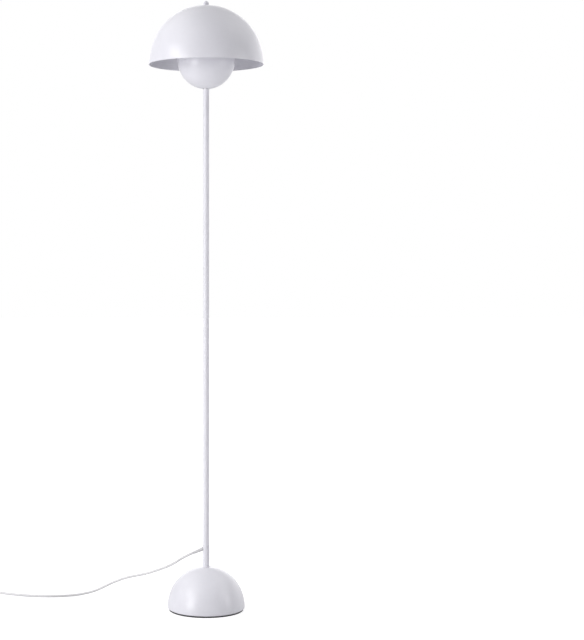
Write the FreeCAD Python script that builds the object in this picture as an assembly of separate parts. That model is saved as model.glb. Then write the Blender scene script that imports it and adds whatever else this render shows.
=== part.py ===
import FreeCAD, Part
import os
import math

os.makedirs("parts", exist_ok=True)
V = FreeCAD.Vector

# ---------------------------------------------------------------- dimensions
# All in millimetres. Origin on the floor under the middle of the base,
# +Z up, +X to the right and -Y towards the viewer of the front.

# base
PAD_R, PAD_T = 77.4, 3.0
BASE_R, BASE_B, BASE_ZC = 80.0, 83.8, 6.0      # half ellipse: radius, height, height of its centre
BASE_WALL = 1.2
BASE_FLAT_Z = 89.3                              # flat spot that the pole stands on
LIP_R = 3.0                                     # rolled lower edge, outside radius
WEIGHT_R, WEIGHT_TOP = 75.0, 38.0
BOSS_R0, BOSS_R1 = 16.0, 8.0
STUD_R = 4.0                                    # M8
NUT_POCKET_R, NUT_POCKET_TOP = 16.0, 15.0
GASKET_R, GASKET_T = 6.6, 0.7

# pole
POLE_RO, POLE_RI = 6.0, 5.0                     # tube 12 x 1
POLE_Z0 = BASE_FLAT_Z + GASKET_T                # 90.0
JOINT_Z = (415.0, 740.0)                        # where the three tubes meet
POLE_Z1 = 1062.4
COUPLER_RO, COUPLER_RI, COUPLER_HALF = 4.97, 3.5, 15.0
COLLAR_RO, COLLAR_TOP = 6.75, 134.0             # sleeve round the foot of the pole

# cord outlet in the sleeve
OUT_X, OUT_Z = -6.75, 127.15                    # a point on the outlet's axis
OUT_TILT = 22.6                                 # degrees below level
BUSH_R, BUSH_OUT = 3.05, 22.0
CORD_STRAIGHT = 20.0                            # the cord's first straight run past the relief

# lower bowl, open at the top
BOWL_R, BOWL_ZC, BOWL_WALL = 57.5, 1120.0, 1.0
BOWL_RIM_Z = 1128.0
BOWL_FLAT_Z = 1063.1

# shade, open at the bottom
SHADE_R, SHADE_B, SHADE_ZC, SHADE_WALL = 115.0, 113.5, 1112.5, 1.0
SHADE_RIM_Z = 1110.0
SHADE_FLAT_Z = 1225.75

# strap that carries the shade
STRAP_T, STRAP_W = 1.5, 10.0
STRAP_FOOT_Z = 1066.05                          # middle of the strap's thickness
STRAP_TOP_Z = 1221.75
STRAP_X = 34.0

# knob on top
KNOB_R, KNOB_TOP = 5.4, 1235.0
TOP_STUD_R, TOP_STUD_Z1 = 3.0, 1232.0           # M6, pitch 1.0

# lamp holder, small screw cap (14 mm thread, pitch 2.82)
HOLD_R, HOLD_Z0 = 12.5, 1071.7
SHELL_RI, SHELL_RO = 7.0, 7.35
BULB_CAP_R = 6.95
BULB_R, BULB_ZC, BULB_WALL = 22.5, 1153.0, 0.8

# supply cord
CORD_R = 2.5
COIL_X, COIL_Y = -626.0, 182.5
COIL_RI, COIL_RO, COIL_H = 20.0, 35.0, 20.0

# foot switch on the cord
SW_X, SW_Y = -538.0, 150.0
SW_L, SW_W, SW_SPLIT, SW_TOP = 72.0, 36.0, 7.0, 20.0
SW_WALL = 2.0
SW_CORNER = 14.0
SW_SEAM = 0.35                                  # chamfer along the line where the two shells meet
BUTTON_R, BUTTON_TOP = 12.0, 24.5
GROMMET_OUT = 14.0

# two-pin plug
PL_Y, PL_Z = 212.5, 7.0
PL_RELIEF_X0, PL_X0, PL_X1 = -564.0, -542.0, -506.0
PIN_R, PIN_LEN, PIN_SLEEVE, PIN_PITCH = 2.0, 19.0, 10.0, 18.6
PIN_SLEEVE_R, PIN_CORE_R = 1.8, 1.4


# ---------------------------------------------------------------- helpers
def save(name, *solids):
    shapes = [s for s in solids]
    out = shapes[0] if len(shapes) == 1 else Part.makeCompound(shapes)
    vol = sum(s.Volume for s in out.Solids)
    ok = all(s.isValid() for s in out.Solids) and len(out.Solids) >= 1
    out.exportStep("parts/%s.step" % name)
    print("%-26s solids %d  volume %.1f  valid %s" % (name, len(out.Solids), vol, ok))


def seg(p, q):
    return Part.LineSegment(V(p[0], 0, p[1]), V(q[0], 0, q[1])).toShape()


def arc(p, m, q):
    return Part.Arc(V(p[0], 0, p[1]), V(m[0], 0, m[1]), V(q[0], 0, q[1])).toShape()


def quarter(cx, cz, r, a0, a1):
    """Circular arc in the XZ plane from angle a0 to a1, in degrees."""
    am = 0.5 * (a0 + a1)
    p = [(cx + r * math.cos(math.radians(a)), cz + r * math.sin(math.radians(a))) for a in (a0, am, a1)]
    return arc(*p)


def ellipse(a, b, zc, p, q):
    """Part of the ellipse with half axes a (radius) and b (height) about (0, zc), between two points on it."""
    if b >= a:
        e = Part.Ellipse(V(0, 0, zc + b), V(a, 0, zc), V(0, 0, zc))
    else:
        e = Part.Ellipse(V(a, 0, zc), V(0, 0, zc + b), V(0, 0, zc))
    u, w = e.parameter(V(p[0], 0, p[1])), e.parameter(V(q[0], 0, q[1]))
    lo, hi = min(u, w), max(u, w)
    if hi - lo > math.pi:
        lo, hi = hi, lo + 2 * math.pi
    return Part.ArcOfEllipse(e, lo, hi).toShape()


def ell_r(a, b, zc, z):
    return a * math.sqrt(max(0.0, 1.0 - ((z - zc) / b) ** 2))


def turn(edges):
    """Solid of revolution about Z of a closed outline in the XZ plane."""
    wire = Part.Wire(Part.__sortEdges__(edges))
    s = Part.Face(wire).revolve(V(0, 0, 0), V(0, 0, 1), 360)
    if isinstance(s, Part.Shell) or not s.Solids:
        s = Part.Solid(s)
    s = s.Solids[0]
    if s.Volume < 0:
        s.reverse()
    return s


def poly(*pts):
    pts = list(pts)
    return [seg(pts[i], pts[(i + 1) % len(pts)]) for i in range(len(pts))]


def tube(ro, ri, z0, z1, x=0.0, y=0.0, c=0.0):
    """Hollow or full cylinder on Z, with a small chamfer c on its outer edges."""
    o = [(ri, z0), (ro - c, z0), (ro, z0 + c), (ro, z1 - c), (ro - c, z1), (ri, z1)] if c else [(ri, z0), (ro, z0), (ro, z1), (ri, z1)]
    s = turn(poly(*o))
    if x or y:
        s.translate(V(x, y, 0))
    return s


def cyl(r, length, at, along):
    return Part.makeCylinder(r, length, V(*at), V(*along))


def hexnut(af, bore, z0, z1):
    rc = af / 2 / math.cos(math.pi / 6)
    pts = [V(rc * math.cos(math.radians(60 * i)), rc * math.sin(math.radians(60 * i)), z0) for i in range(6)]
    s = Part.Face(Part.makePolygon(pts + [pts[0]])).extrude(V(0, 0, z1 - z0))
    c = 0.45
    cone = turn(poly((0, z0), (rc - 1.0, z0), (rc + 0.1, z0 + c + 0.1), (rc + 0.1, z1 - c - 0.1), (rc - 1.0, z1), (0, z1)))
    return s.common(cone).cut(cyl(bore, z1 - z0 + 2, (0, 0, z0 - 1), (0, 0, 1))).Solids[0]


def rounded_path(points, name, k=0.45, show=True, fixed=None):
    """Straight runs joined by tangent arcs. Each arc's radius is k times the shorter run over the tangent of half the turn."""
    P = [V(*p) for p in points]
    edges = []
    start = P[0]
    radii = []
    length = 0.0
    for i in range(1, len(P) - 1):
        a, b = P[i] - P[i - 1], P[i + 1] - P[i]
        la, lb = a.Length, b.Length
        a.normalize()
        b.normalize()
        ang = a.getAngle(b)
        if ang < 1e-4:
            raise ValueError("three points in line in " + name)
        r = k * min(la, lb) / math.tan(ang / 2)
        if fixed:
            r = min(r, fixed)
        t = r * math.tan(ang / 2)
        p, q = P[i] - a * t, P[i] + b * t
        bis = b - a
        bis.normalize()
        centre = P[i] + bis * (r / math.cos(ang / 2))
        m = centre - bis * r
        if (p - start).Length > 1e-6:
            edges.append(Part.LineSegment(start, p).toShape())
            length += (p - start).Length
        edges.append(Part.Arc(p, m, q).toShape())
        length += r * ang
        radii.append(r)
        start = q
    edges.append(Part.LineSegment(start, P[-1]).toShape())
    length += (P[-1] - start).Length
    if show:
        runs = [(P[i + 1] - P[i]).Length for i in range(len(P) - 1)]
        print("%s: length %.1f, runs %s, arc radii %s" % (name, length, " ".join("%.0f" % x for x in runs), " ".join("%.0f" % x for x in radii)))
    return Part.Wire(edges), length


def round_tube(points, r, name, show=True, fixed=None):
    wire, length = rounded_path(points, name, show=show, fixed=fixed)
    a, b = V(*points[0]), V(*points[1])
    prof = Part.Wire([Part.makeCircle(r, a, b - a)])
    s = wire.makePipeShell([prof], True, False)
    s = s.Solids[0] if s.Solids else Part.Solid(s)
    if s.Volume < 0:
        s.reverse()
    want = math.pi * r * r * length
    if show:
        print("%s: volume %.1f against section times length %.1f" % (name, s.Volume, want))
    if abs(s.Volume / want - 1) > 0.01:
        raise ValueError("tube volume is off in " + name)
    return s


def rounded_box(l, w, corner, z0, z1, x, y):
    """Upright prism with a rounded rectangle for its outline."""
    hl, hw = l / 2, w / 2
    k = corner * (1 - math.sqrt(0.5))
    e = []

    def L(p, q):
        if (V(*p) - V(*q)).Length > 1e-6:
            e.append(Part.LineSegment(V(*p), V(*q)).toShape())

    def A(p, m, q):
        e.append(Part.Arc(V(*p), V(*m), V(*q)).toShape())

    X = lambda a, b: (x + a, y + b, z0)
    L(X(-hl + corner, -hw), X(hl - corner, -hw))
    A(X(hl - corner, -hw), X(hl - k, -hw + k), X(hl, -hw + corner))
    L(X(hl, -hw + corner), X(hl, hw - corner))
    A(X(hl, hw - corner), X(hl - k, hw - k), X(hl - corner, hw))
    L(X(hl - corner, hw), X(-hl + corner, hw))
    A(X(-hl + corner, hw), X(-hl + k, hw - k), X(-hl, hw - corner))
    L(X(-hl, hw - corner), X(-hl, -hw + corner))
    A(X(-hl, -hw + corner), X(-hl + k, -hw + k), X(-hl + corner, -hw))
    return Part.Face(Part.Wire(Part.__sortEdges__(e))).extrude(V(0, 0, z1 - z0))


def edges_at(shape, z, tol=1e-3):
    return [e for e in shape.Edges if abs(e.BoundBox.ZMin - z) < tol and abs(e.BoundBox.ZMax - z) < tol]


# ---------------------------------------------------------------- base
# Foam pad under the whole base.
save("base_pad", turn(poly((0, 0), (PAD_R - 0.5, 0), (PAD_R, 0.5), (PAD_R, PAD_T), (0, PAD_T))))

# Pressed dome: flat spot, half ellipse, lower edge rolled inwards.
ro_flat = ell_r(BASE_R, BASE_B, BASE_ZC, BASE_FLAT_Z)
ai, bi = BASE_R - BASE_WALL, BASE_B - BASE_WALL
z_in = BASE_FLAT_Z - BASE_WALL
ri_flat = ell_r(ai, bi, BASE_ZC, z_in)
lip_c = BASE_R - LIP_R
hole = STUD_R + 0.3
dome = [
    seg((hole, BASE_FLAT_Z), (ro_flat, BASE_FLAT_Z)),
    ellipse(BASE_R, BASE_B, BASE_ZC, (BASE_R, BASE_ZC), (ro_flat, BASE_FLAT_Z)),
    quarter(lip_c, BASE_ZC, LIP_R, -90, 0),
    seg((lip_c, BASE_ZC - LIP_R), (lip_c - 1.5, BASE_ZC - LIP_R)),
    seg((lip_c - 1.5, BASE_ZC - LIP_R), (lip_c - 1.5, BASE_ZC - LIP_R + BASE_WALL)),
    seg((lip_c - 1.5, BASE_ZC - LIP_R + BASE_WALL), (lip_c, BASE_ZC - LIP_R + BASE_WALL)),
    quarter(lip_c, BASE_ZC, LIP_R - BASE_WALL, -90, 0),
    ellipse(ai, bi, BASE_ZC, (ai, BASE_ZC), (ri_flat, z_in)),
    seg((ri_flat, z_in), (hole, z_in)),
    seg((hole, z_in), (hole, BASE_FLAT_Z)),
]
save("base_dome", turn(dome))

# Cast weight: dished disc with a boss up to the flat spot and a pocket for the nut.
w_side = 20.0
weight = poly(
    (STUD_R + 0.2, NUT_POCKET_TOP),
    (NUT_POCKET_R, NUT_POCKET_TOP),
    (NUT_POCKET_R, PAD_T),
    (WEIGHT_R - 1.0, PAD_T),
    (WEIGHT_R, PAD_T + 1.0),
    (WEIGHT_R, w_side),
    (71.0, WEIGHT_TOP - 2.0),
    (69.0, WEIGHT_TOP),
    (BOSS_R0 + 3.0, WEIGHT_TOP),
    (BOSS_R0, WEIGHT_TOP + 3.0),
    (BOSS_R1, z_in),
    (STUD_R + 0.2, z_in),
)
save("base_weight", turn(weight))
save("base_washer", tube(13.0, STUD_R + 0.2, 12.6, NUT_POCKET_TOP, c=0.3))
save("base_nut", hexnut(13.0, STUD_R + 0.02, 6.1, 12.6))
save("base_stud", tube(STUD_R, 0, 4.2, 112.0, c=0.6))
save("pole_gasket", tube(GASKET_R, STUD_R + 0.3, BASE_FLAT_Z, POLE_Z0))

# ---------------------------------------------------------------- pole
save("pole_foot_insert", tube(POLE_RI - 0.02, STUD_R + 0.03, POLE_Z0, 112.0, c=0.3))

t = math.radians(OUT_TILT)
out_dir = (-math.cos(t), 0.0, -math.sin(t))


def on_axis(s):
    return (OUT_X + out_dir[0] * s, 0.0, OUT_Z + out_dir[2] * s)


outlet = cyl(BUSH_R + 0.05, 12.0, on_axis(-4.5), out_dir)
save("pole_lower", tube(POLE_RO, POLE_RI, POLE_Z0, JOINT_Z[0], c=0.15).cut(outlet).Solids[0])
save("pole_middle", tube(POLE_RO, POLE_RI, JOINT_Z[0], JOINT_Z[1], c=0.15))
save("pole_upper", tube(POLE_RO, POLE_RI, JOINT_Z[1], POLE_Z1, c=0.15))
save("pole_couplers", *[tube(COUPLER_RO, COUPLER_RI, z - COUPLER_HALF, z + COUPLER_HALF, c=0.4) for z in JOINT_Z])
save("cord_collar", tube(COLLAR_RO, POLE_RO + 0.03, POLE_Z0, COLLAR_TOP, c=0.3).cut(outlet).Solids[0])

# Moulded strain relief: neck through both walls, saddle against the sleeve, taper along the cord.
neck = cyl(BUSH_R, 3.6, on_axis(-3.0), out_dir)
saddle = cyl(3.9, 3.2, on_axis(-2.0), out_dir).cut(Part.makeCylinder(COLLAR_RO + 0.02, 60, V(0, 0, 100)))
taper = Part.makeCone(3.7, CORD_R + 0.25, BUSH_OUT - 1.2, V(*on_axis(1.2)), V(*out_dir))
bush = neck.fuse([saddle, taper]).removeSplitter()
save("cord_bush", bush.Solids[0])

# Lead inside the pole, from the outlet up to the lamp holder.
LEAD_R, LEAD_X = 2.0, 1.0
lead0 = on_axis(-3.0)
corner_z = lead0[2] + (LEAD_X - lead0[0]) * math.tan(t)
lead = [lead0, (LEAD_X, 0.0, corner_z), (LEAD_X, 0.0, 1084.5)]
save("pole_cable", round_tube(lead, LEAD_R, "pole_cable", fixed=6.2))

# ---------------------------------------------------------------- lower bowl
rb = math.sqrt(BOWL_R ** 2 - (BOWL_ZC - BOWL_FLAT_Z) ** 2)
Ri = BOWL_R - BOWL_WALL
zb_in = BOWL_FLAT_Z + BOWL_WALL
rb_in = math.sqrt(Ri ** 2 - (BOWL_ZC - zb_in) ** 2)


def on_circle(r, zc, pr, pz, qr, qz):
    """Arc about (0, zc) of radius r from (pr, pz) to (qr, qz)."""
    a0, a1 = math.atan2(pz - zc, pr), math.atan2(qz - zc, qr)
    m = 0.5 * (a0 + a1)
    return arc((pr, pz), (r * math.cos(m), zc + r * math.sin(m)), (qr, qz))


hb = COUPLER_RO + 0.13
bowl = [
    seg((hb, BOWL_FLAT_Z), (rb, BOWL_FLAT_Z)),
    on_circle(BOWL_R, BOWL_ZC, rb, BOWL_FLAT_Z, BOWL_R, BOWL_ZC),
    seg((BOWL_R, BOWL_ZC), (BOWL_R, BOWL_RIM_Z - 0.5)),
    quarter(BOWL_R - 0.5, BOWL_RIM_Z - 0.5, 0.5, 0, 180),
    seg((Ri, BOWL_RIM_Z - 0.5), (Ri, BOWL_ZC)),
    on_circle(Ri, BOWL_ZC, rb_in, zb_in, Ri, BOWL_ZC),
    seg((rb_in, zb_in), (hb, zb_in)),
    seg((hb, zb_in), (hb, BOWL_FLAT_Z)),
]
save("lower_bowl", turn(bowl))
save("bowl_seat_washer", tube(7.6, hb, POLE_Z1, BOWL_FLAT_Z, c=0.15))
save("bowl_washer", tube(8.0, hb, zb_in, STRAP_FOOT_Z - STRAP_T / 2, c=0.2))
save("head_nipple", tube(COUPLER_RO, COUPLER_RI, 1040.0, 1083.0, c=0.4))
nut_z0 = STRAP_FOOT_Z + STRAP_T / 2
save("bowl_nut", hexnut(14.0, COUPLER_RO + 0.03, nut_z0, nut_z0 + 4.5))

# ---------------------------------------------------------------- strap, stud and cushion under the shade
def strap_half(sign):
    pts = [(0, STRAP_FOOT_Z), (13.0, STRAP_FOOT_Z), (STRAP_X, 1088.0), (STRAP_X, 1200.0), (20.0, STRAP_TOP_Z), (0, STRAP_TOP_Z)]
    rad = [14.0, 20.0, 25.0, 12.0]
    P = [V(sign * p[0], 0, p[1]) for p in pts]
    e = []
    start = P[0]
    for i in range(1, len(P) - 1):
        a, b = P[i] - P[i - 1], P[i + 1] - P[i]
        a.normalize()
        b.normalize()
        ang = a.getAngle(b)
        tt = rad[i - 1] * math.tan(ang / 2)
        bis = b - a
        bis.normalize()
        c = P[i] + bis * (rad[i - 1] / math.cos(ang / 2))
        p, q = P[i] - a * tt, P[i] + b * tt
        e.append(Part.LineSegment(start, p).toShape())
        e.append(Part.Arc(p, c - bis * rad[i - 1], q).toShape())
        start = q
    e.append(Part.LineSegment(start, P[-1]).toShape())
    path = Part.Wire(e)
    h, w = STRAP_T / 2, STRAP_W / 2
    prof = Part.makePolygon([V(0, -w, STRAP_FOOT_Z - h), V(0, w, STRAP_FOOT_Z - h), V(0, w, STRAP_FOOT_Z + h), V(0, -w, STRAP_FOOT_Z + h), V(0, -w, STRAP_FOOT_Z - h)])
    s = path.makePipeShell([prof], True, True)
    s = s.Solids[0] if s.Solids else Part.Solid(s)
    if s.Volume < 0:
        s.reverse()
    return s


strap = strap_half(1).fuse(strap_half(-1)).removeSplitter()
strap = strap.fuse([tube(8.0, 0, STRAP_FOOT_Z - STRAP_T / 2, STRAP_FOOT_Z + STRAP_T / 2), tube(7.2, 0, STRAP_TOP_Z - STRAP_T / 2, STRAP_TOP_Z + STRAP_T / 2)]).removeSplitter()
strap = strap.cut(cyl(hb, 10, (0, 0, STRAP_FOOT_Z - 5), (0, 0, 1))).cut(cyl(TOP_STUD_R + 0.1, 10, (0, 0, STRAP_TOP_Z - 5), (0, 0, 1)))
save("shade_strap", strap.Solids[0])
strap_top = STRAP_TOP_Z + STRAP_T / 2
strap_under = STRAP_TOP_Z - STRAP_T / 2
save("shade_stud", turn(poly((0, strap_under - 1.6), (5.0, strap_under - 1.6), (5.5, strap_under - 1.1), (5.5, strap_under), (TOP_STUD_R, strap_under), (TOP_STUD_R, TOP_STUD_Z1 - 0.5), (TOP_STUD_R - 0.5, TOP_STUD_Z1), (0, TOP_STUD_Z1))))

# ---------------------------------------------------------------- shade
so_flat = ell_r(SHADE_R, SHADE_B, SHADE_ZC, SHADE_FLAT_Z)
sa, sb = SHADE_R - SHADE_WALL, SHADE_B - SHADE_WALL
sz_in = SHADE_FLAT_Z - SHADE_WALL
si_flat = ell_r(sa, sb, SHADE_ZC, sz_in)
sh = TOP_STUD_R + 0.3
shade = [
    seg((sh, SHADE_FLAT_Z), (so_flat, SHADE_FLAT_Z)),
    ellipse(SHADE_R, SHADE_B, SHADE_ZC, (SHADE_R, SHADE_ZC), (so_flat, SHADE_FLAT_Z)),
    seg((SHADE_R, SHADE_ZC), (SHADE_R, SHADE_RIM_Z + 0.5)),
    quarter(SHADE_R - 0.5, SHADE_RIM_Z + 0.5, 0.5, -180, 0),
    seg((sa, SHADE_RIM_Z + 0.5), (sa, SHADE_ZC)),
    ellipse(sa, sb, SHADE_ZC, (sa, SHADE_ZC), (si_flat, sz_in)),
    seg((si_flat, sz_in), (sh, sz_in)),
    seg((sh, sz_in), (sh, SHADE_FLAT_Z)),
]
save("top_shade", turn(shade))
save("shade_cushion", tube(7.4, sh, strap_top, sz_in))

# ---------------------------------------------------------------- knob
wz0 = SHADE_FLAT_Z + 0.05
wz1 = wz0 + 0.7
kz0 = wz1 + 0.05
save("finial_washer", tube(5.2, TOP_STUD_R + 0.05, wz0, wz1, c=0.1))
kz1 = KNOB_TOP - KNOB_R
knob = [
    seg((4.0, kz0), (KNOB_R - 0.4, kz0)),
    seg((KNOB_R - 0.4, kz0), (KNOB_R, kz0 + 0.4)),
    seg((KNOB_R, kz0 + 0.4), (KNOB_R, kz1)),
    quarter(0, kz1, KNOB_R, 0, 90),
    seg((0, KNOB_TOP), (0, 1232.9)),
    seg((0, 1232.9), (4.0, 1232.3)),
    seg((4.0, 1232.3), (4.0, kz0)),
]
save("finial_knob", turn(knob))
save("finial_insert", tube(3.98, TOP_STUD_R + 0.05, kz0 + 0.1, 1232.1, c=0.15))

# ---------------------------------------------------------------- lamp holder
hb2 = COUPLER_RO + 0.03
save("holder_base", turn(poly(
    (hb2, HOLD_Z0), (HOLD_R - 1.2, HOLD_Z0), (HOLD_R, HOLD_Z0 + 1.2), (HOLD_R, 1088.0), (11.4, 1088.0), (11.4, 1094.0),
    (9.9, 1094.0), (9.9, 1084.0), (hb2, 1084.0))))
save("holder_body", turn(poly(
    (11.43, 1088.0), (HOLD_R, 1088.0), (HOLD_R, 1120.0), (HOLD_R - 1.0, 1121.0), (9.0, 1121.0), (8.6, 1120.6), (8.6, 1119.0), (11.0, 1119.0), (11.0, 1094.0), (11.43, 1094.0))))
save("holder_insulator", turn(poly((1.42, 1094.0), (10.85, 1094.0), (10.85, 1101.4), (10.25, 1102.0), (1.42, 1102.0))))
save("holder_screw_shell", turn(poly((4.0, 1102.0), (SHELL_RO, 1102.0), (SHELL_RO, 1118.0), (SHELL_RI, 1118.0), (SHELL_RI, 1102.4), (4.0, 1102.4))))
save("holder_centre_contact", turn(poly((0, 1094.0), (1.4, 1094.0), (1.4, 1102.0), (2.2, 1102.0), (2.2, 1102.8), (1.8, 1103.2), (0, 1103.2))))
TX = 5.2
save("holder_terminals", *[Part.makeBox(5.0, 5.0, 6.5, V(s * TX - 2.5, -2.5, 1087.5)) for s in (-1, 1)])


def screw_y(x, y, z, r_head, h_head):
    """Slotted screw head lying along -Y."""
    s = cyl(r_head, h_head, (x, y, z), (0, -1, 0))
    return s.cut(Part.makeBox(2 * r_head + 1, 0.5, 0.5, V(x - r_head - 0.5, y - h_head, z - 0.25))).Solids[0]


save("terminal_screws", *[screw_y(s * TX, -2.5, 1090.5, 1.5, 1.4) for s in (-1, 1)])
save("holder_wires", *[
    round_tube([(LEAD_X + s * 0.95, 0, 1084.5), (LEAD_X + s * 0.95, 0, 1086.0), (s * TX, 0, 1086.0), (s * TX, 0, 1087.5)], 0.7, "holder_wire", show=False, fixed=0.75)
    for s in (-1, 1)])

# ---------------------------------------------------------------- bulb
cap = turn(poly((3.2, 1105.2), (6.4, 1105.2), (BULB_CAP_R, 1106.0), (BULB_CAP_R, 1121.8), (6.52, 1121.8), (6.52, 1106.4), (6.2, 1105.7), (3.2, 1105.7)))
save("bulb_cap", cap)
save("bulb_insulator", turn(poly((1.2, 1104.0), (3.0, 1104.0), (5.4, 1105.2), (1.2, 1105.2))))
save("bulb_contact", turn(poly((0, 1103.5), (1.6, 1103.5), (2.1, 1104.0), (0, 1104.0))))
a50 = math.radians(-50)
so = (BULB_R * math.cos(a50), BULB_ZC + BULB_R * math.sin(a50))
ri = BULB_R - BULB_WALL
sn = (ri * math.cos(a50), BULB_ZC + ri * math.sin(a50))
glass = [
    seg((5.7, 1110.0), (6.48, 1110.0)),
    seg((6.48, 1110.0), (6.48, 1122.0)),
    seg((6.48, 1122.0), (8.2, 1122.9)),
    arc((8.2, 1122.9), (10.3, 1129.4), so),
    quarter(0, BULB_ZC, BULB_R, -50, 90),
    seg((0, BULB_ZC + BULB_R), (0, BULB_ZC + ri)),
    quarter(0, BULB_ZC, ri, -50, 90),
    arc(sn, (9.6, 1129.8), (7.45, 1123.5)),
    seg((7.45, 1123.5), (5.7, 1122.5)),
    seg((5.7, 1122.5), (5.7, 1110.0)),
]
save("bulb_glass", turn(glass))
stem = turn(poly((0, 1110.5), (5.68, 1110.5), (5.68, 1111.5), (3.2, 1114.0), (2.4, 1120.0), (2.4, 1136.0), (1.4, 1140.0), (1.4, 1166.5), (0, 1168.0)))
arms = []
FIL_R, FIL_OFF = 0.8, 6.5
for i in range(4):
    a = math.radians(45 + 90 * i)
    d = (math.cos(a), math.sin(a), 0)
    for z in (1140.6, 1166.4):
        arms.append(cyl(0.35, FIL_OFF, (0, 0, z), d))
save("bulb_stem", stem.fuse(arms).removeSplitter().Solids[0])
save("bulb_filaments", *[cyl(FIL_R, 24.9, (FIL_OFF * math.cos(math.radians(45 + 90 * i)), FIL_OFF * math.sin(math.radians(45 + 90 * i)), 1141.05), (0, 0, 1)) for i in range(4)])

# ---------------------------------------------------------------- supply cord
cord_lamp_to_switch = [
    on_axis(BUSH_OUT),
    on_axis(BUSH_OUT + CORD_STRAIGHT),
    (-72.0, 10.7, 90.8),
    (-100.0, 38.0, 74.9),
    (-132.0, 66.0, 59.2),
    (-167.0, 91.9, 48.0),
    (-203.0, 112.5, 30.8),
    (-238.0, 122.6, 10.4),
    (-276.0, 119.5, 2.5),
    (-316.0, 107.8, 2.5),
    (-356.0, 107.3, 2.5),
    (-396.0, 116.5, 2.5),
    (-430.0, 130.4, 2.5),
    (-456.0, 146.1, 2.9),
    (-474.0, SW_Y, 7.0),
    (SW_X + SW_L / 2 + GROMMET_OUT, SW_Y, 7.0),
]
print("outlet", on_axis(BUSH_OUT), on_axis(BUSH_OUT + CORD_STRAIGHT))
save("supply_cord", round_tube(cord_lamp_to_switch, CORD_R, "supply_cord"))
xg = SW_X - SW_L / 2 - GROMMET_OUT
cord_switch_to_coil = [(xg, SW_Y, 7.0), (xg - 12.0, SW_Y, 7.0), (xg - 26.0, SW_Y + 0.4, 2.5), (COIL_X, SW_Y, 2.5)]
save("cord_to_coil", round_tube(cord_switch_to_coil, CORD_R, "cord_to_coil"))
save("cord_coil", turn([
    seg((COIL_RI + 1.5, 0), (COIL_RO - 1.5, 0)), quarter(COIL_RO - 1.5, 1.5, 1.5, -90, 0), seg((COIL_RO, 1.5), (COIL_RO, COIL_H - 1.5)),
    quarter(COIL_RO - 1.5, COIL_H - 1.5, 1.5, 0, 90), seg((COIL_RO - 1.5, COIL_H), (COIL_RI + 1.5, COIL_H)),
    quarter(COIL_RI + 1.5, COIL_H - 1.5, 1.5, 90, 180), seg((COIL_RI, COIL_H - 1.5), (COIL_RI, 1.5)), quarter(COIL_RI + 1.5, 1.5, 1.5, 180, 270)]).translated(V(COIL_X, COIL_Y, 0)))
cord_coil_to_plug = [(COIL_X, PL_Y, 17.5), (COIL_X + 19.0, PL_Y + 0.6, 17.4), (COIL_X + 43.0, PL_Y, PL_Z), (PL_RELIEF_X0, PL_Y, PL_Z)]
save("cord_to_plug", round_tube(cord_coil_to_plug, CORD_R, "cord_to_plug"))

# ---------------------------------------------------------------- foot switch
outer0 = rounded_box(SW_L, SW_W, SW_CORNER, 0, SW_SPLIT, SW_X, SW_Y)
outer0 = outer0.makeFillet(1.5, edges_at(outer0, 0))
outer0 = outer0.makeChamfer(SW_SEAM, edges_at(outer0, SW_SPLIT))
inner0 = rounded_box(SW_L - 2 * SW_WALL, SW_W - 2 * SW_WALL, SW_CORNER - SW_WALL, SW_WALL, SW_SPLIT + 1, SW_X, SW_Y)
port = cyl(3.4, SW_L + 40, (SW_X - SW_L / 2 - 20, SW_Y, SW_SPLIT), (1, 0, 0))
BOSS = [(sx * 23.5, sy * 10.5) for sx in (-1, 1) for sy in (-1, 1)]
lowb = outer0.cut(inner0)
for bx, by in BOSS:
    lowb = lowb.fuse(tube(3.4, 0, 0.5, SW_SPLIT, SW_X + bx, SW_Y + by))
for bx, by in BOSS:
    lowb = lowb.cut(tube(2.6, 0, -1, 2.4, SW_X + bx, SW_Y + by)).cut(tube(1.35, 0, -1, SW_SPLIT + 1, SW_X + bx, SW_Y + by))
lowb = lowb.cut(port)
save("switch_base", lowb.removeSplitter().Solids[0])
outer1 = rounded_box(SW_L, SW_W, SW_CORNER, SW_SPLIT, SW_TOP, SW_X, SW_Y)
outer1 = outer1.makeFillet(4.5, edges_at(outer1, SW_TOP))
outer1 = outer1.makeChamfer(SW_SEAM, edges_at(outer1, SW_SPLIT))
inner1 = rounded_box(SW_L - 2 * SW_WALL, SW_W - 2 * SW_WALL, SW_CORNER - SW_WALL, SW_SPLIT - 1, SW_TOP - SW_WALL, SW_X, SW_Y)
inner1 = inner1.makeFillet(2.6, edges_at(inner1, SW_TOP - SW_WALL))
topb = outer1.cut(inner1)
for bx, by in BOSS:
    topb = topb.fuse(tube(3.0, 0, SW_SPLIT, SW_TOP - SW_WALL + 0.5, SW_X + bx, SW_Y + by))
for bx, by in BOSS:
    topb = topb.cut(tube(1.12, 0, SW_SPLIT - 1, 15.5, SW_X + bx, SW_Y + by))
topb = topb.cut(port).cut(tube(BUTTON_R + 0.4, 0, 10, 30, SW_X, SW_Y))
save("switch_cover", topb.removeSplitter().Solids[0])


def sw_screw(bx, by):
    s = turn(poly((0, 0.5), (2.4, 0.5), (2.4, 2.4), (1.3, 2.4), (1.3, SW_SPLIT), (1.1, SW_SPLIT), (1.1, 14.0), (0.6, 14.8), (0, 14.8)))
    slot = Part.makeBox(6, 0.6, 0.7, V(-3, -0.3, 0.4)).fuse(Part.makeBox(0.6, 6, 0.7, V(-0.3, -3, 0.4)))
    s = s.cut(slot).Solids[0]
    s.translate(V(SW_X + bx, SW_Y + by, 0))
    return s


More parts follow.
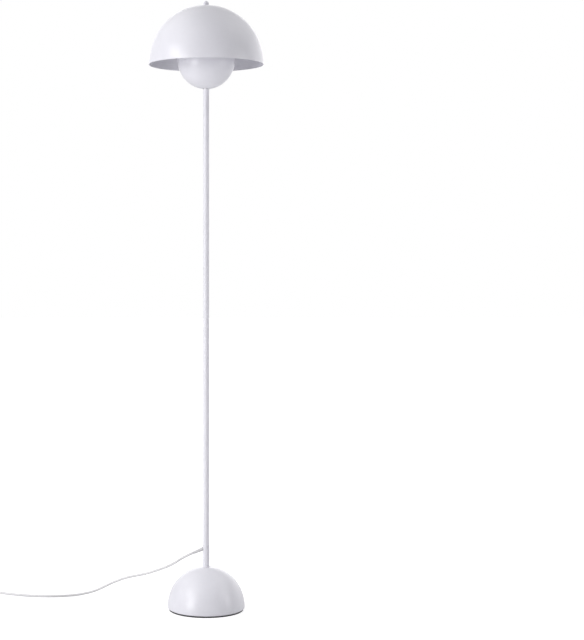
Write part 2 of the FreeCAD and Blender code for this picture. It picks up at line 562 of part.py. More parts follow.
save("switch_screws", *[sw_screw(bx, by) for bx, by in BOSS])
grommets = []
for s in (-1, 1):
    xo = SW_X + s * SW_L / 2
    d = (s, 0, 0)
    g = Part.makeCone(4.4, CORD_R + 0.2, GROMMET_OUT - 0.2, V(xo + s * 0.2, SW_Y, 7.0), V(*d))
    g = g.fuse([cyl(3.35, SW_WALL + 2.2, (xo - s * (SW_WALL + 1.7), SW_Y, 7.0), d), cyl(4.5, 1.5, (xo - s * (SW_WALL + 1.7), SW_Y, 7.0), d)]).removeSplitter().Solids[0]
    grommets.append(g)
save("switch_grommets", *grommets)
# short stretches of cord from the grommets to the terminals
gx = SW_L / 2 - SW_WALL - 1.7
save("switch_leads", *[cyl(2.0, gx - 16.0, (SW_X + s * 16.0, SW_Y, 7.0), (s, 0, 0)) for s in (-1, 1)])
block = Part.makeBox(24, 14, 9, V(SW_X - 12, SW_Y - 7, SW_WALL)).cut(tube(3.4, 0, 8.0, 12, SW_X, SW_Y))
save("switch_block", block.Solids[0])
save("switch_terminals", *[Part.makeBox(4.0, 4.5, 6.0, V(SW_X + (12.0 if s > 0 else -16.0), SW_Y + (0.6 if u > 0 else -5.1), 4.0)) for s in (-1, 1) for u in (-1, 1)])
# push button: hollow cap with a retaining flange and a plunger
b_under = 21.5
crown = ((BUTTON_R - 1.4) ** 2 + (BUTTON_TOP - 23.8) ** 2) / (2 * (BUTTON_TOP - 23.8))
btn = turn([
    seg((0, 12.6), (2.6, 12.6)),
    seg((2.6, 12.6), (3.0, 13.0)),
    seg((3.0, 13.0), (3.0, b_under)),
    seg((3.0, b_under), (BUTTON_R - 1.6, b_under)),
    seg((BUTTON_R - 1.6, b_under), (BUTTON_R - 1.6, 16.2)),
    seg((BUTTON_R - 1.6, 16.2), (13.2, 16.2)),
    seg((13.2, 16.2), (13.2, 17.5)),
    seg((13.2, 17.5), (BUTTON_R, 17.5)),
    seg((BUTTON_R, 17.5), (BUTTON_R, 22.4)),
    arc((BUTTON_R, 22.4), (BUTTON_R - 0.45, 23.35), (BUTTON_R - 1.4, 23.8)),
    on_circle(crown, BUTTON_TOP - crown, BUTTON_R - 1.4, 23.8, 0, BUTTON_TOP),
    seg((0, BUTTON_TOP), (0, 12.6)),
])
btn.translate(V(SW_X, SW_Y, 0))
save("foot_button", btn)
# return spring, open coils between the block and the cap, its wire an octagon in section
SPR_R, SPR_W, SPR_N, SPR_STEP = 4.7, 0.35, 4.5, 16
z0s, z1s = 11.05 + SPR_W, b_under - 0.05 - SPR_W
count = int(SPR_N * SPR_STEP)
rings = []
for i in range(count + 1):
    a = 2 * math.pi * SPR_N * i / count
    u = V(math.cos(a), math.sin(a), 0)
    c = V(SW_X, SW_Y, z0s + (z1s - z0s) * i / count) + u * SPR_R
    rings.append([c + u * (SPR_W * math.cos(math.pi * j / 4)) + V(0, 0, SPR_W * math.sin(math.pi * j / 4)) for j in range(8)])
faces = []
for i in range(count):
    for j in range(8):
        p, q, r, t4 = rings[i][j], rings[i][(j + 1) % 8], rings[i + 1][(j + 1) % 8], rings[i + 1][j]
        faces.append(Part.Face(Part.makePolygon([p, q, r, p])))
        faces.append(Part.Face(Part.makePolygon([p, r, t4, p])))
for ring in (rings[0][::-1], rings[-1]):
    faces.append(Part.Face(Part.makePolygon(ring + [ring[0]])))
spring = Part.Solid(Part.makeShell(faces))
if spring.Volume < 0:
    spring.reverse()
save("button_spring", spring)

# ---------------------------------------------------------------- plug
def outline(pts, z0, z1, fil):
    P = [V(p[0], p[1], z0) for p in pts]
    s = Part.Face(Part.makePolygon(P + [P[0]])).extrude(V(0, 0, z1 - z0))
    up = [e for e in s.Edges if abs(e.BoundBox.ZMax - e.BoundBox.ZMin) > 1]
    s = s.makeFillet(3.5, up)
    lid = [e for e in s.Edges if abs(e.BoundBox.ZMax - e.BoundBox.ZMin) < 1e-3]
    return s.makeFillet(fil, lid)


body = outline([(PL_X0, PL_Y - 7.0), (PL_X0, PL_Y + 7.0), (-526.0, PL_Y + 14.0), (-516.0, PL_Y + 17.6), (PL_X1, PL_Y + 17.6), (PL_X1, PL_Y - 17.6), (-516.0, PL_Y - 17.6), (-526.0, PL_Y - 14.0)], 0.0, 14.0, 2.6)
pins, sleeves = [], []
for s in (-1, 1):
    y = PL_Y + s * PIN_PITCH / 2
    brass = cyl(PIN_CORE_R, PIN_LEN + 3.0 - 2.0, (PL_X1 - 3.0, y, PL_Z), (1, 0, 0))
    tip = Part.makeCylinder(PIN_R, PIN_LEN - PIN_SLEEVE - 1.0, V(PL_X1 + PIN_SLEEVE, y, PL_Z), V(1, 0, 0))
    nose = Part.makeCone(PIN_R, PIN_R - 0.8, 1.0, V(PL_X1 + PIN_LEN - 1.0, y, PL_Z), V(1, 0, 0))
    pins.append(brass.fuse([tip, nose]).removeSplitter().Solids[0])
    sl = cyl(PIN_SLEEVE_R, PIN_SLEEVE + 1.5, (PL_X1 - 1.5, y, PL_Z), (1, 0, 0)).cut(cyl(PIN_CORE_R + 0.02, 30, (PL_X1 - 5, y, PL_Z), (1, 0, 0)))
    sleeves.append(sl.Solids[0])
    body = body.cut(cyl(PIN_CORE_R + 0.02, 3.0, (PL_X1 - 3.0, y, PL_Z), (1, 0, 0))).cut(cyl(PIN_SLEEVE_R + 0.02, 1.5, (PL_X1 - 1.5, y, PL_Z), (1, 0, 0)))
save("plug_body", body.Solids[0])
save("plug_pins", *pins)
save("plug_pin_sleeves", *sleeves)
relief = Part.makeCone(CORD_R + 0.4, 4.6, PL_X0 - PL_RELIEF_X0, V(PL_RELIEF_X0, PL_Y, PL_Z), V(1, 0, 0))
for i in range(4):
    xr = PL_RELIEF_X0 + 4.5 + i * 4.2
    relief = relief.cut(Part.makeCylinder(9, 1.1, V(xr, PL_Y, PL_Z), V(1, 0, 0)).cut(Part.makeCylinder(CORD_R + 0.15 + 0.28 * (i + 1), 1.1, V(xr, PL_Y, PL_Z), V(1, 0, 0))))
save("plug_relief", relief.removeSplitter().Solids[0])
print("files", len([f for f in os.listdir("parts") if f.endswith(".step")]))
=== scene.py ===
import math
import bmesh
import bpy
from mathutils import Matrix, Vector


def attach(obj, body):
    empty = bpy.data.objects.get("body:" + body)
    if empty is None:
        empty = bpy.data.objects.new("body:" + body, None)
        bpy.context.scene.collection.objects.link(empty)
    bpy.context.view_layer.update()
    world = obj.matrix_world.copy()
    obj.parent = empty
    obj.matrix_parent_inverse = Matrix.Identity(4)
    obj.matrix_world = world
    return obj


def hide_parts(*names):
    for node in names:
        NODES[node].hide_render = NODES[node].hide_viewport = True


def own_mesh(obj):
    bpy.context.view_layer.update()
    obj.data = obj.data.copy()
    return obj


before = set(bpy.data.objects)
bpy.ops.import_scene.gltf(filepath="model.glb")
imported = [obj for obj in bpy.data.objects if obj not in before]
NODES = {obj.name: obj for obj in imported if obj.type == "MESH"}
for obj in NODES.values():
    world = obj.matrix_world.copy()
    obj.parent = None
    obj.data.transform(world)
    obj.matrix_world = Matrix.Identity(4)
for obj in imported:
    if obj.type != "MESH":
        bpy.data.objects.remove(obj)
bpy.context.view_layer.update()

COL = bpy.context.scene.collection


# ------------------------------------------------------------------ camera
# Stands about 3 m in front of the lamp, a little above half its height, and looks down by six degrees.
# The shift only restores the photograph's framing: the lamp is left of the middle and high in the frame.
cam_data = bpy.data.cameras.new("camera")
cam_data.sensor_fit = "AUTO"
cam_data.sensor_width = 36.0
cam_data.lens = 84.12
cam_data.shift_x = 0.1341
cam_data.shift_y = 0.1416
cam_data.clip_start, cam_data.clip_end = 0.05, 60.0
cam = bpy.data.objects.new("camera", cam_data)
COL.objects.link(cam)
cam.location = (0.0, -3.047, 0.7349)
cam.rotation_euler = (math.radians(84.0), 0.0, 0.0)
bpy.context.scene.camera = cam


# ------------------------------------------------------------------ cord
CORD_D = 0.005
TILT = math.radians(22.6)
OUT_DIR = Vector((-math.cos(TILT), 0.0, -math.sin(TILT)))
OUT_AT = Vector((-0.00675, 0.0, 0.12715))
exit_point = OUT_AT + OUT_DIR * 0.022

# Route over the floor, from the sleeve on the pole to the foot switch.
route = [
    exit_point,
    OUT_AT + OUT_DIR * 0.042,
    Vector((-0.0720, 0.0107, 0.0908)),
    Vector((-0.1000, 0.0380, 0.0749)),
    Vector((-0.1320, 0.0660, 0.0592)),
    Vector((-0.1670, 0.0919, 0.0480)),
    Vector((-0.2030, 0.1125, 0.0308)),
    Vector((-0.2380, 0.1226, 0.0104)),
    Vector((-0.2760, 0.1195, 0.0025)),
    Vector((-0.3160, 0.1078, 0.0025)),
    Vector((-0.3560, 0.1073, 0.0025)),
    Vector((-0.3960, 0.1165, 0.0025)),
    Vector((-0.4300, 0.1304, 0.0025)),
    Vector((-0.4560, 0.1461, 0.0029)),
    Vector((-0.4740, 0.1500, 0.0070)),
    Vector((-0.4880, 0.1500, 0.0070)),
    # through the foot switch, beside the button's plunger
    Vector((-0.5040, 0.1500, 0.0070)),
    Vector((-0.5380, 0.1610, 0.0062)),
    Vector((-0.5720, 0.1500, 0.0070)),
    Vector((-0.5880, 0.1500, 0.0070)),
    Vector((-0.6000, 0.1500, 0.0070)),
    Vector((-0.6140, 0.1502, 0.0028)),
]

# The put-away length: seven and a half turns, wound inwards, up, outwards, up and so on, each turn
# one diameter from the next. Angles in degrees from where the cord meets the coil, clockwise from above.
COIL_C = Vector((-0.6260, 0.1825, 0.0))
TURN_PTS = 16
winding = [  # angle, radius, height in mm
    (0, 32.5, 2.5), (720, 22.5, 2.5),
    (810, 22.5, 7.5), (1530, 32.5, 7.5),
    (1620, 32.5, 12.5), (2340, 22.5, 12.5),
    (2430, 22.5, 17.5), (2700, 30.0, 17.5),
]


def wound(angle):
    for (a0, r0, z0), (a1, r1, z1) in zip(winding, winding[1:]):
        if a0 <= angle <= a1:
            f = (angle - a0) / (a1 - a0)
            s = f * f * (3 - 2 * f)
            if z0 != z1:
                return r0, z0 + (z1 - z0) * s
            return r0 + (r1 - r0) * f, z0
    return winding[-1][1:]


steps = int(2700 / 360 * TURN_PTS)
coil_pts = []
for i in range(steps + 1):
    angle = 2700.0 * i / steps
    r, z = wound(angle)
    grow = 1.0 if i in (0, steps) else 1.0 / 0.981
    a = math.radians(-90.0 - angle)
    coil_pts.append(COIL_C + Vector((r * grow * math.cos(a), r * grow * math.sin(a), z)) * 0.001)
tail = [
    Vector((-0.6070, 0.2131, 0.0174)),
    Vector((-0.5830, 0.2125, 0.0070)),
    Vector((-0.5640, 0.2125, 0.0070)),
]
cord_points = route + coil_pts + tail

curve = bpy.data.curves.new("supply_flex", "CURVE")
curve.dimensions = "3D"
curve.bevel_depth = 1.0  # times each point's own radius, which is the cord's
curve.bevel_resolution = 5
curve.resolution_u = 10
curve.use_fill_caps = True
spline = curve.splines.new("NURBS")
spline.points.add(len(cord_points) - 1)
for p, q in zip(spline.points, cord_points):
    p.co = (q.x, q.y, q.z, 1.0)
    p.radius = CORD_D / 2
spline.order_u = 3
spline.use_endpoint_u = True
spline.resolution_u = 10
flex = bpy.data.objects.new("supply_flex", curve)
COL.objects.link(flex)
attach(flex, "lamp")
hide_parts("supply_cord", "cord_to_coil", "cord_coil", "cord_to_plug")


# ------------------------------------------------------------------ material helpers
class Mat:
    """A node material with a few short-hands. Coordinates are metres in the row frame."""

    def __init__(self, name, base=(0.8, 0.8, 0.8), rough=0.5, metal=0.0, **sockets):
        self.m = bpy.data.materials.new(name)
        self.m.use_nodes = True
        self.t = self.m.node_tree
        self.n = self.t.nodes
        self.l = self.t.links
        self.b = self.n["Principled BSDF"]
        self.b.inputs["Base Color"].default_value = (*base, 1.0)
        self.b.inputs["Roughness"].default_value = rough
        self.b.inputs["Metallic"].default_value = metal
        for k, v in sockets.items():
            self.b.inputs[k.replace("_", " ")].default_value = v
        self.co = self.n.new("ShaderNodeTexCoord").outputs["Object"]
        self.h = None

    def node(self, kind, **props):
        x = self.n.new(kind)
        for k, v in props.items():
            setattr(x, k, v)
        return x

    def link(self, a, b):
        self.l.new(a, b)
        return b

    def scaled(self, sx, sy, sz, source=None):
        v = self.node("ShaderNodeVectorMath", operation="MULTIPLY")
        self.link(source or self.co, v.inputs[0])
        v.inputs[1].default_value = (sx, sy, sz)
        return v.outputs["Vector"]

    def noise(self, scale, detail=2.0, rough=0.5, vec=None, distortion=0.0):
        x = self.node("ShaderNodeTexNoise")
        self.link(vec or self.co, x.inputs["Vector"])
        x.inputs["Scale"].default_value = scale
        x.inputs["Detail"].default_value = detail
        x.inputs["Roughness"].default_value = rough
        x.inputs["Distortion"].default_value = distortion
        return x.outputs["Fac"]

    def line_noise(self, w, scale, detail=2.0):
        x = self.node("ShaderNodeTexNoise", noise_dimensions="1D")
        self.link(w, x.inputs["W"])
        x.inputs["Scale"].default_value = scale
        x.inputs["Detail"].default_value = detail
        return x.outputs["Fac"]

    def cells(self, scale, vec=None, feature="F1"):
        x = self.node("ShaderNodeTexVoronoi", feature=feature)
        self.link(vec or self.co, x.inputs["Vector"])
        x.inputs["Scale"].default_value = scale
        return x.outputs["Distance"]

    def map(self, v, a, b, c, d, clamp=True, smooth=False):
        x = self.node("ShaderNodeMapRange", clamp=clamp)
        if smooth:
            x.interpolation_type = "SMOOTHSTEP"
        self.link(v, x.inputs["Value"])
        for k, val in zip(("From Min", "From Max", "To Min", "To Max"), (a, b, c, d)):
            x.inputs[k].default_value = val
        return x.outputs["Result"]

    def math(self, op, a, b=None, c=None):
        x = self.node("ShaderNodeMath", operation=op)
        for i, v in enumerate((a, b, c)):
            if v is None:
                continue
            if isinstance(v, (int, float)):
                x.inputs[i].default_value = v
            else:
                self.link(v, x.inputs[i])
        return x.outputs["Value"]

    def xyz(self, vec=None):
        s = self.node("ShaderNodeSeparateXYZ")
        self.link(vec or self.co, s.inputs[0])
        return s.outputs["X"], s.outputs["Y"], s.outputs["Z"]

    def radius(self, cx=0.0, cy=0.0):
        x, y, _ = self.xyz()
        dx, dy = self.math("SUBTRACT", x, cx), self.math("SUBTRACT", y, cy)
        return self.math("SQRT", self.math("ADD", self.math("MULTIPLY", dx, dx), self.math("MULTIPLY", dy, dy)))

    def mix(self, fac, a, b):
        """Colour a where fac is 0 and b where it is 1. a and b are triples or sockets."""
        x = self.node("ShaderNodeMix", data_type="RGBA")
        self.link(fac, x.inputs["Factor"])
        for i, v in ((6, a), (7, b)):
            if isinstance(v, (tuple, list)):
                x.inputs[i].default_value = (*v, 1.0)
            else:
                self.link(v, x.inputs[i])
        return x.outputs[2]

    def mixf(self, fac, a, b):
        x = self.node("ShaderNodeMix", data_type="FLOAT")
        self.link(fac, x.inputs["Factor"])
        for i, v in ((2, a), (3, b)):
            if isinstance(v, (int, float)):
                x.inputs[i].default_value = v
            else:
                self.link(v, x.inputs[i])
        return x.outputs[0]

    def color(self, socket):
        self.link(socket, self.b.inputs["Base Color"])

    def rough(self, socket):
        self.link(socket, self.b.inputs["Roughness"])

    def bump(self, height, strength, distance):
        x = self.node("ShaderNodeBump")
        x.inputs["Strength"].default_value = strength
        x.inputs["Distance"].default_value = distance
        self.link(height, x.inputs["Height"])
        if self.h is not None:
            self.link(self.h, x.inputs["Normal"])
        self.h = x.outputs["Normal"]
        self.link(self.h, self.b.inputs["Normal"])


PAINT = (0.735, 0.728, 0.785)


def lacquer(name, base=PAINT, inside=None, rings=None, edge=None, wave=0.0006):
    """Satin powder-coat: fine orange peel, faint cloudiness and dust, spun rings where the sheet was spun.

    inside = (radius, height, centre z, wall) of a half-ellipsoid shell whose inner face has a flatter finish, is
    painted a little darker as shade, and carries light and dark streaks painted as reflections of its spun rings.
    edge = (z, width) of a rim where the coat is glossier and its colour is painted lighter as a highlight along the
    edge.
    """
    m = Mat(name, base, 0.36, IOR=1.5, Coat_Weight=0.18, Coat_Roughness=0.22, Coat_IOR=1.5)
    x, y, z = m.xyz()
    cloud = m.noise(9.0, 4.0, 0.55)
    fine = m.noise(140.0, 3.0, 0.6)
    lo = tuple(c * 0.972 for c in base)
    hi = tuple(min(1.0, c * 1.022) for c in base)
    tone = m.mix(m.map(m.math("ADD", m.math("MULTIPLY", cloud, 0.75), m.math("MULTIPLY", fine, 0.25)), 0.33, 0.67, 0.0, 1.0), lo, hi)
    # sparse dust specks
    speck = m.map(m.cells(420.0), 0.0, 0.075, 1.0, 0.0, smooth=True)
    sparse = m.map(m.noise(60.0, 1.0), 0.62, 0.7, 0.0, 1.0)
    tone = m.mix(m.math("MULTIPLY", m.math("MULTIPLY", speck, sparse), 0.16), tone, (0.52, 0.5, 0.48))
    rough = m.map(m.noise(26.0, 3.0), 0.3, 0.7, 0.31, 0.41)
    peel = m.noise(620.0, 2.0, 0.45)
    m.bump(peel, 0.16, 0.00012)
    m.bump(m.noise(75.0, 1.0, 0.4), 0.10, wave)
    if rings:
        r = m.radius()
        polar = m.math("ARCTAN2", r, m.math("SUBTRACT", z, rings))
        ring = m.line_noise(polar, 62.0, 5.0)
        if inside:
            a, b, zc, wall = inside
            rx = m.math("DIVIDE", r, a)
            rz = m.math("DIVIDE", m.math("SUBTRACT", z, zc), b)
            e = m.math("SQRT", m.math("ADD", m.math("MULTIPLY", rx, rx), m.math("MULTIPLY", rz, rz)))
            within = m.map(e, 1.0 - wall * 0.62 / a, 1.0 - wall * 0.38 / a, 1.0, 0.0)
            streak = m.map(m.line_noise(polar, 110.0, 6.0), 0.35, 0.65, 0.0, 1.0)
            # painted shade and painted reflections: the inner face is a little darker on average, with lighter and
            # darker rings standing in for light caught by the spun ridges
            inner_tone_painted_streaks = m.mix(streak, tuple(c * 0.93 for c in base), tuple(min(1.0, c * 1.01) for c in base))
            tone = m.mix(within, tone, inner_tone_painted_streaks)
            rough = m.mixf(within, rough, m.map(streak, 0.0, 1.0, 0.5, 0.62))
            m.bump(m.math("MULTIPLY", within, streak), 0.35, 0.0002)
        m.bump(ring, 0.05, 0.0004)
    if edge:
        near = m.map(m.math("ABSOLUTE", m.math("SUBTRACT", z, edge[0])), 0.0, edge[1], 1.0, 0.0, smooth=True)
        # painted highlight: the colour is lightened along the rim as if the edge caught the light; the roughness change
        # below is the real gloss
        tone = m.mix(m.math("MULTIPLY", near, 0.35), tone, tuple(min(1.0, c * 1.06) for c in base))
        rough = m.mixf(near, rough, 0.26)
    m.color(tone)
    m.rough(rough)
    return m.m


def zinc(name, base=(0.60, 0.61, 0.62), rough=0.33, brush=None):
    """Zinc-plated steel: blotchy passivation and fine rolled or turned lines."""
    m = Mat(name, base, rough, 1.0)
    blotch = m.noise(190.0, 4.0, 0.6)
    tone = m.mix(m.map(blotch, 0.3, 0.7, 0.0, 1.0), tuple(c * 0.86 for c in base), tuple(min(1.0, c * 1.1) for c in base))
    tint = m.map(m.noise(90.0, 2.0), 0.5, 0.72, 0.0, 0.35)
    tone = m.mix(tint, tone, (base[0] * 1.02, base[1] * 0.97, base[2] * 0.82))
    m.color(tone)
    lines = m.noise(1.0, 2.0, 0.6, vec=m.scaled(*(brush or (300.0, 300.0, 5200.0))))
    m.rough(m.map(m.math("ADD", m.math("MULTIPLY", lines, 0.6), m.math("MULTIPLY", blotch, 0.4)), 0.3, 0.7, rough - 0.08, rough + 0.13))
    m.bump(lines, 0.18, 0.00005)
    return m.m


def brass(name, base=(0.80, 0.60, 0.27), rough=0.26):
    m = Mat(name, base, rough, 1.0)
    stain = m.noise(230.0, 4.0, 0.65)
    tone = m.mix(m.map(stain, 0.4, 0.75, 0.0, 1.0), base, (0.55, 0.36, 0.16))
    m.color(tone)
    turned = m.noise(1.0, 1.0, 0.5, vec=m.scaled(60.0, 60.0, 6500.0))
    m.rough(m.map(stain, 0.3, 0.7, rough - 0.05, rough + 0.15))
    m.bump(turned, 0.2, 0.00004)
    return m.m


def plastic(name, base, rough=0.42, grain=1500.0, grain_depth=0.00003, cloud=0.03, **sockets):
    """Moulded plastic: a spark-eroded grain, faint flow marks, and slightly uneven gloss."""
    m = Mat(name, base, rough, 0.0, **sockets)
    flow = m.noise(38.0, 3.0, 0.55, distortion=0.6)
    tone = m.mix(m.map(flow, 0.3, 0.7, 0.0, 1.0), tuple(c * (1 - cloud) for c in base), tuple(min(1.0, c * (1 + cloud)) for c in base))
    m.color(tone)
    m.rough(m.map(m.noise(120.0, 2.0), 0.3, 0.7, rough - 0.05, rough + 0.07))
    m.bump(m.noise(grain, 2.0, 0.5), 0.35, grain_depth)
    return m.m


def rubber(name, base=(0.028, 0.028, 0.031), rough=0.82, cell=900.0):
    """Closed-cell foam or moulded rubber."""
    m = Mat(name, base, rough)
    pores = m.cells(cell)
    # painted shade: the pore hollows are coloured darker and the cell walls between them lighter
    tone = m.mix(m.map(pores, 0.0, 0.55, 0.0, 1.0), tuple(c * 0.55 for c in base), tuple(c * 1.5 for c in base))
    tone = m.mix(m.map(m.noise(30.0, 3.0), 0.45, 0.75, 0.0, 0.35), tone, (0.075, 0.072, 0.068))
    m.color(tone)
    m.rough(m.map(pores, 0.0, 0.6, rough + 0.1, rough - 0.08))
    m.bump(pores, 0.6, 0.00025)
    return m.m


def iron(name, base=(0.095, 0.095, 0.1)):
    """Sand-cast iron under a thin coat of primer, with rust freckles."""
    m = Mat(name, base, 0.72, 0.35)
    sand = m.noise(520.0, 5.0, 0.65)
    lumps = m.noise(60.0, 4.0, 0.55)
    rust = m.map(m.noise(85.0, 6.0, 0.7), 0.58, 0.7, 0.0, 0.8)
    # painted shade: the hollows between the lumps are coloured darker and the raised lumps lighter, following the bump
    # below
    tone = m.mix(m.map(lumps, 0.3, 0.7, 0.0, 1.0), tuple(c * 0.7 for c in base), tuple(c * 1.35 for c in base))
    m.color(m.mix(rust, tone, (0.19, 0.075, 0.032)))
    m.rough(m.map(sand, 0.3, 0.7, 0.6, 0.86))
    m.bump(lumps, 0.5, 0.0012)
    m.bump(sand, 0.7, 0.0004)
    return m.m


def pvc(name, base=(0.68, 0.672, 0.69)):
    """Extruded PVC sheath: faint unevenness from the cores beneath, a little scuffing and a soft sheen."""
    m = Mat(name, base, 0.44, IOR=1.48)
    cloud = m.noise(45.0, 3.0, 0.5)
    tone = m.mix(m.map(cloud, 0.3, 0.7, 0.0, 1.0), tuple(c * 0.94 for c in base), tuple(min(1, c * 1.04) for c in base))
    scuff = m.map(m.noise(310.0, 5.0, 0.7), 0.64, 0.72, 0.0, 0.22)
    m.color(m.mix(scuff, tone, (0.42, 0.415, 0.41)))
    m.rough(m.map(m.noise(160.0, 2.0), 0.3, 0.7, 0.38, 0.52))
    m.bump(m.noise(900.0, 2.0, 0.5), 0.25, 0.00004)
    m.bump(m.noise(110.0, 1.0, 0.5), 0.2, 0.0003)
    return m.m


def clear_glass(name, tint=(1.0, 1.0, 1.0), rough=0.0):
    m = Mat(name, tint, rough, 0.0, IOR=1.5, Transmission_Weight=1.0)
    smear = m.noise(70.0, 4.0, 0.6)
    m.rough(m.map(smear, 0.45, 0.75, rough, rough + 0.035))
    m.color(m.mix(m.map(smear, 0.3, 0.7, 0.0, 1.0), (0.985, 0.99, 0.99), tint))
    m.bump(m.noise(55.0, 2.0, 0.4), 0.08, 0.0004)
    return m.m


def ceramic(name, base=(0.83, 0.82, 0.79)):
    """White porcelain: clear glaze over a body with a few iron specks."""
    m = Mat(name, base, 0.16, Coat_Weight=0.6, Coat_Roughness=0.06, Coat_IOR=1.52)
    speck = m.map(m.cells(760.0), 0.0, 0.09, 1.0, 0.0)
    keep = m.map(m.noise(240.0, 1.0), 0.6, 0.66, 0.0, 0.7)
    tone = m.mix(m.map(m.noise(120.0, 3.0), 0.3, 0.7, 0.0, 1.0), tuple(c * 0.96 for c in base), tuple(min(1, c * 1.03) for c in base))
    m.color(m.mix(m.math("MULTIPLY", speck, keep), tone, (0.25, 0.2, 0.15)))
    m.rough(m.map(m.noise(300.0, 2.0), 0.3, 0.7, 0.12, 0.26))
    m.bump(m.noise(260.0, 2.0, 0.5), 0.25, 0.0001)
    return m.m


MATS = {
    "shade": lacquer("lacquer_shade", inside=(0.115, 0.1135, 1.1125, 0.001), rings=1.1125, edge=(1.110, 0.0016)),
    "bowl": lacquer("lacquer_bowl", inside=(0.0575, 0.0575, 1.120, 0.001), rings=1.120, edge=(1.128, 0.0014)),
    "base": lacquer("lacquer_base", rings=0.006, edge=(0.0035, 0.0022)),
    "pole": lacquer("lacquer_pole", wave=0.00015),
    "knob": lacquer("lacquer_knob", wave=0.0002),
    "zinc": zinc("zinc_plate"),
    "strap": zinc("zinc_strip", (0.66, 0.66, 0.665), 0.36, (4200.0, 150.0, 150.0)),
    "brass": brass("turned_brass"),
    "nickel": zinc("nickel_plate", (0.70, 0.67, 0.62), 0.2),
    "solder": zinc("soft_solder", (0.55, 0.55, 0.56), 0.4),
    "spring": zinc("spring_wire", (0.52, 0.53, 0.55), 0.28),
    "foam": rubber("foam_pad"),
    "rubber": rubber("soft_rubber", (0.035, 0.035, 0.035), 0.7, 2400.0),
    "iron": iron("cast_iron"),
    "cord": pvc("cord_sheath"),
    "relief": plastic("relief_vinyl", (0.60, 0.595, 0.615), 0.5, 1100.0),
    "case": plastic("switch_case", (0.72, 0.715, 0.73), 0.46, 1500.0, 0.00005),
    "nylon": plastic("nylon_ring", (0.74, 0.735, 0.75), 0.5, 1600.0, 0.00003),
    "button": plastic("button_cap", (0.69, 0.685, 0.70), 0.34, 2300.0, 0.00002),
    "dark": plastic("dark_sleeve", (0.03, 0.03, 0.032), 0.4, 1800.0),
    "core": plastic("core_insulation", (0.36, 0.22, 0.13), 0.45, 1800.0),
    "holder": plastic("holder_moulding", (0.77, 0.765, 0.75), 0.4, 1300.0),
    "ceramic": ceramic("porcelain"),
    "glass": clear_glass("bulb_envelope"),
    "vitrite": plastic("black_cap_glass", (0.012, 0.012, 0.014), 0.15, 900.0),
    "phosphor": plastic("phosphor_rod", (0.80, 0.52, 0.12), 0.55, 2600.0, 0.00004),
}

USES = {
    "shade": ["top_shade"],
    "bowl": ["lower_bowl"],
    "base": ["base_dome"],
    "pole": ["pole_lower", "pole_middle", "pole_upper", "cord_collar"],
    "knob": ["finial_knob", "finial_washer"],
    "zinc": ["base_washer", "base_nut", "base_stud", "pole_couplers", "bowl_seat_washer", "head_nipple", "bowl_washer", "bowl_nut", "shade_stud", "terminal_screws", "switch_screws"],
    "strap": ["shade_strap"],
    "brass": ["pole_foot_insert", "finial_insert", "holder_screw_shell", "holder_centre_contact", "holder_terminals", "switch_terminals"],
    "nickel": ["bulb_cap", "plug_pins"],
    "solder": ["bulb_contact"],
    "spring": ["button_spring"],
    "foam": ["base_pad"],
    "rubber": ["shade_cushion"],
    "nylon": ["pole_gasket"],
    "iron": ["base_weight"],
    "cord": ["pole_cable"],
    "relief": ["cord_bush", "switch_grommets", "plug_relief"],
    "case": ["switch_base", "switch_cover", "switch_block", "plug_body"],
    "button": ["foot_button"],
    "dark": ["plug_pin_sleeves"],
    "core": ["holder_wires", "switch_leads"],
    "holder": ["holder_base", "holder_body"],
    "ceramic": ["holder_insulator"],
    "glass": ["bulb_glass", "bulb_stem"],
    "vitrite": ["bulb_insulator"],
    "phosphor": ["bulb_filaments"],
}
for key, names in USES.items():
    for name in names:
        ob = NODES[name]
        if not ob.material_slots:
            ob.data.materials.append(MATS[key])
        for s in ob.material_slots:
            s.material = MATS[key]
flex.data.materials.append(MATS["cord"])

# The return spring, which on the real switch shortens by the button's travel on its seat, gets a mesh of its own here.
spring = NODES["button_spring"]
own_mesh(spring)


# ------------------------------------------------------------------ floor and light
floor_mesh = bpy.data.meshes.new("floor")
S = 14.0
floor_mesh.from_pydata([(-S, -S, -0.0002), (S, -S, -0.0002), (S, S, -0.0002), (-S, S, -0.0002)], [], [(0, 1, 2, 3)])
floor = bpy.data.objects.new("floor", floor_mesh)
COL.objects.link(floor)
fm = Mat("floor_white", (0.6, 0.6, 0.6), 0.8, Specular_IOR_Level=0.0)
fm.color(fm.mix(fm.map(fm.noise(1.3, 3.0), 0.3, 0.7, 0.0, 1.0), (0.59, 0.59, 0.595), (0.61, 0.61, 0.615)))
# the sweep is lit to white for the eye, and returns much less of that light to the lamp
fm.b.inputs["Emission Color"].default_value = (1.0, 1.0, 1.0, 1.0)
seen_floor = fm.node("ShaderNodeLightPath").outputs["Is Camera Ray"]
fm.link(fm.map(seen_floor, 0.0, 1.0, 0.14, 0.66), fm.b.inputs["Emission Strength"])
floor_mesh.materials.append(fm.m)

# Studio: soft panels all round at two heights, each (azimuth from the viewer's side towards the right, height, tightness, strength)
LEVEL = 0.93
PANELS = [
    (120, 10, 20, 1.417), (150, 10, 20, 1.354), (180, 10, 20, 3.024), (210, 10, 20, 0.730), (240, 10, 20, 0.05),
    (90, 48, 12, 1.650), (135, 48, 12, 1.030), (180, 48, 12, 0.079), (225, 48, 12, 1.344), (270, 48, 12, 1.234), (315, 48, 12, 1.478),
]
world = bpy.data.worlds.new("studio")
bpy.context.scene.world = world
world.use_nodes = True
wn, wl = world.node_tree.nodes, world.node_tree.links
wn.clear()


def wnode(kind, operation=None, *values):
    x = wn.new(kind)
    if operation:
        x.operation = operation
    for i, v in enumerate(values):
        if isinstance(v, (int, float, tuple)):
            x.inputs[i].default_value = v
        elif v is not None:
            wl.new(v, x.inputs[i])
    return x


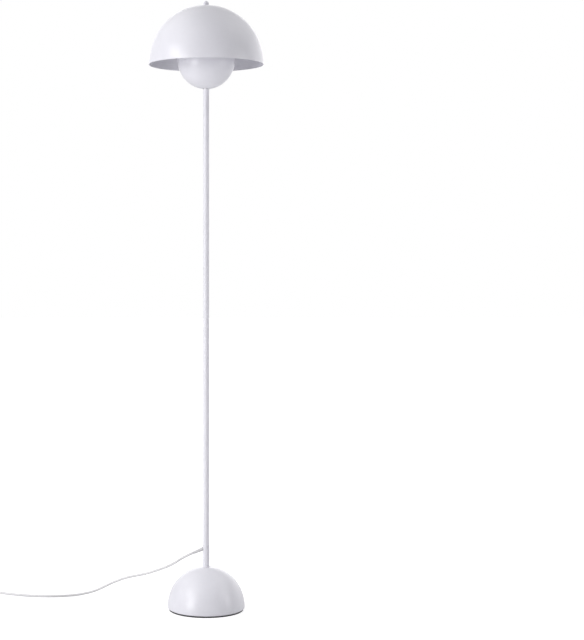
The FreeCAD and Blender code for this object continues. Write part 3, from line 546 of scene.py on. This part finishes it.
out = wnode("ShaderNodeOutputWorld")
seen = wnode("ShaderNodeBackground")
seen.inputs["Color"].default_value = (1.0, 1.0, 1.0, 1.0)
seen.inputs["Strength"].default_value = 1.0
fill = wnode("ShaderNodeBackground")
fill.inputs["Color"].default_value = (1.0, 1.0, 1.0, 1.0)
way = wnode("ShaderNodeVectorMath", "NORMALIZE", wnode("ShaderNodeTexCoord").outputs["Generated"]).outputs["Vector"]
total = None
for azimuth, height, tight, strength in PANELS:
    a, e = math.radians(azimuth), math.radians(height)
    toward = (math.sin(a) * math.cos(e), -math.cos(a) * math.cos(e), math.sin(e))
    near = wnode("ShaderNodeVectorMath", "DOT_PRODUCT", way, toward).outputs["Value"]
    glow = wnode("ShaderNodeMath", "POWER", wnode("ShaderNodeMath", "MAXIMUM", near, 0.0).outputs[0], float(tight)).outputs[0]
    glow = wnode("ShaderNodeMath", "MULTIPLY", glow, strength * LEVEL).outputs[0]
    total = glow if total is None else wnode("ShaderNodeMath", "ADD", total, glow).outputs[0]
wl.new(total, fill.inputs["Strength"])
mixw = wnode("ShaderNodeMixShader")
wl.new(wnode("ShaderNodeLightPath").outputs["Is Camera Ray"], mixw.inputs["Fac"])
wl.new(fill.outputs[0], mixw.inputs[1])
wl.new(seen.outputs[0], mixw.inputs[2])
wl.new(mixw.outputs[0], out.inputs["Surface"])


def softbox(name, at, aim, size, watts, tint=(1.0, 1.0, 1.0)):
    d = bpy.data.lights.new(name, "AREA")
    d.shape = "RECTANGLE"
    d.size, d.size_y = size
    d.energy = watts
    d.color = tint
    o = bpy.data.objects.new(name, d)
    COL.objects.link(o)
    o.location = at
    o.rotation_euler = (Vector(aim) - Vector(at)).to_track_quat("-Z", "Y").to_euler()
    return o


softbox("key_left", (-2.1, -1.9, 0.95), (0.0, 0.0, 0.65), (1.1, 1.8), 36.1 * LEVEL)
softbox("key_high", (-2.4, -1.1, 1.9), (0.0, 0.0, 1.1), (1.0, 1.0), 16.5 * LEVEL)
softbox("key_low", (-1.9, -1.5, 0.35), (0.0, 0.0, 0.1), (0.8, 0.6), 5.5 * LEVEL)
softbox("edge_right", (2.3, -0.8, 0.95), (0.0, 0.0, 0.7), (0.5, 1.5), 13.2 * LEVEL)

view = bpy.context.scene.view_settings
view.view_transform = "Standard"
view.look = "None"
view.exposure = 0.0
view.gamma = 1.0

bpy.context.view_layer.update()
